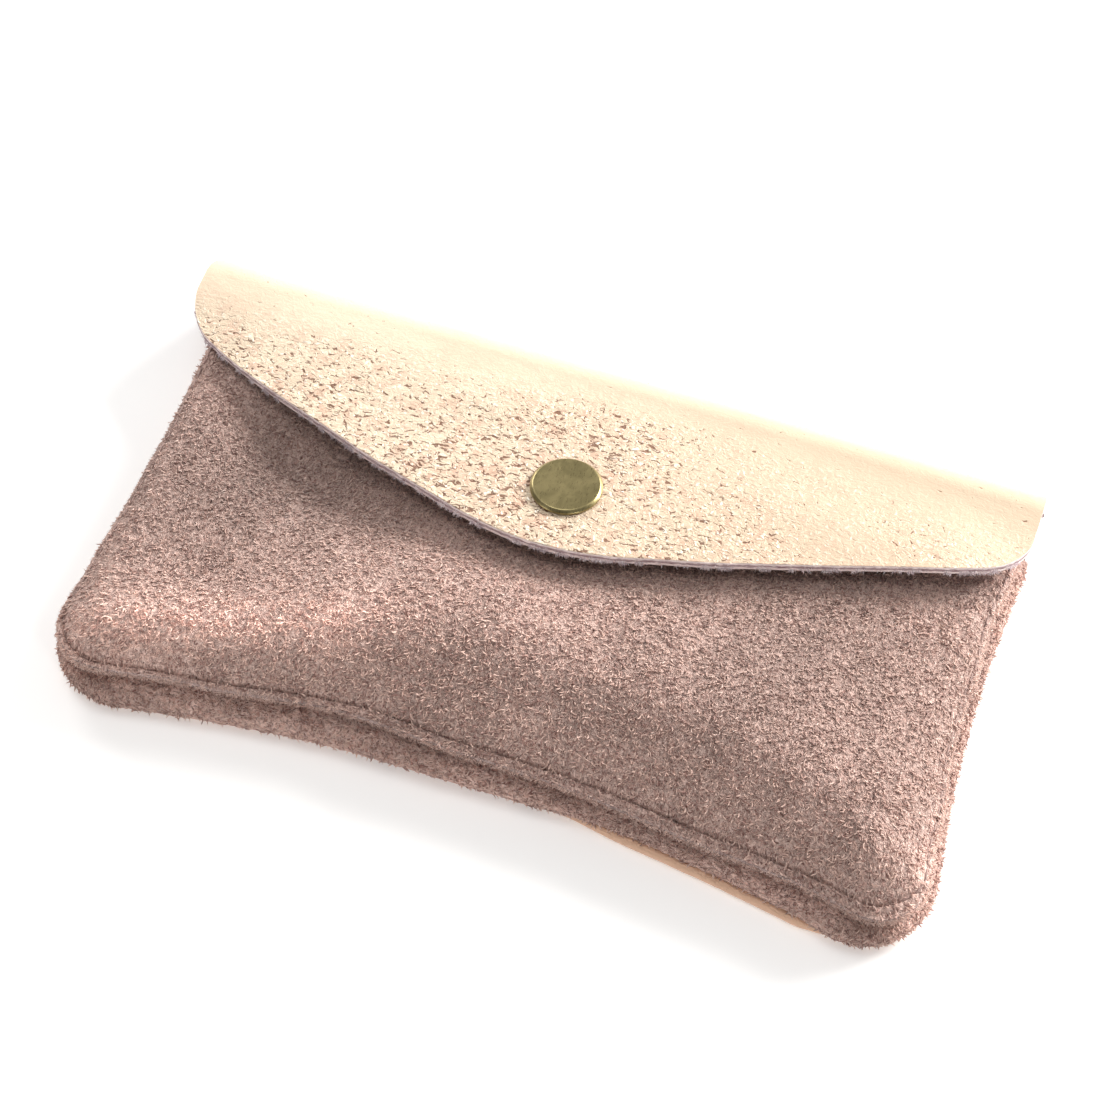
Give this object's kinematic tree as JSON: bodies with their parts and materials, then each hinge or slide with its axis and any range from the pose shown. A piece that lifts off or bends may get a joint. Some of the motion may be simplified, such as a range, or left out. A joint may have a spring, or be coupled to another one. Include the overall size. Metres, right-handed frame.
{
  "type": "envelope wallet with a press stud",
  "caption": "Small gusseted suede pouch closed by a foiled leather envelope flap that folds over from the back and snaps shut with a brass press stud.",
  "frame": {"origin": "middle of the wallet's box, on the surface that the back panel lies on", "axes": "+X along the width, +Y from the sewn bottom edge to the fold, +Z out of the front"},
  "size_m": [0.1563, 0.0894, 0.0181],
  "materials": {
    "suede": "napped suede, dusty rose",
    "foiled_leather": "crackled pale champagne foil, satin",
    "thread": "twisted polyester thread, matt",
    "snap_brass": "antiqued olive brass, satin",
    "spring_brass": "bright spring wire"
  },
  "bodies": {
    "pouch": {"back_panel": "foiled_leather", "gusset": "suede", "front_panel": "suede", "front_seam_needle_thread": "thread", "front_seam_bobbin_thread": "thread", "back_seam_needle_thread": "thread", "back_seam_bobbin_thread": "thread", "snap_stud": "snap_brass", "snap_post": "snap_brass"},
    "fold": {"fold_strip": "foiled_leather"},
    "flap": {"flap": "foiled_leather", "snap_cap": "snap_brass", "snap_socket": "snap_brass", "snap_spring": "spring_brass"}
  },
  "joints": [
    {"name": "fold_opening", "type": "hinge", "parent": "pouch", "child": "fold", "pos_m": [0, 0.0427, 0.0019], "axis": [-1, 0, 0], "range_deg": [0, 85]},
    {"name": "flap_opening", "type": "hinge", "parent": "fold", "child": "flap", "pos_m": [0, 0.0427, 0.011], "axis": [-1, 0, 0], "range_deg": [0, 85]}
  ],
  "couplings": [
    {"joint": "fold_opening", "follows": "flap_opening", "ratio": 1}
  ]
}
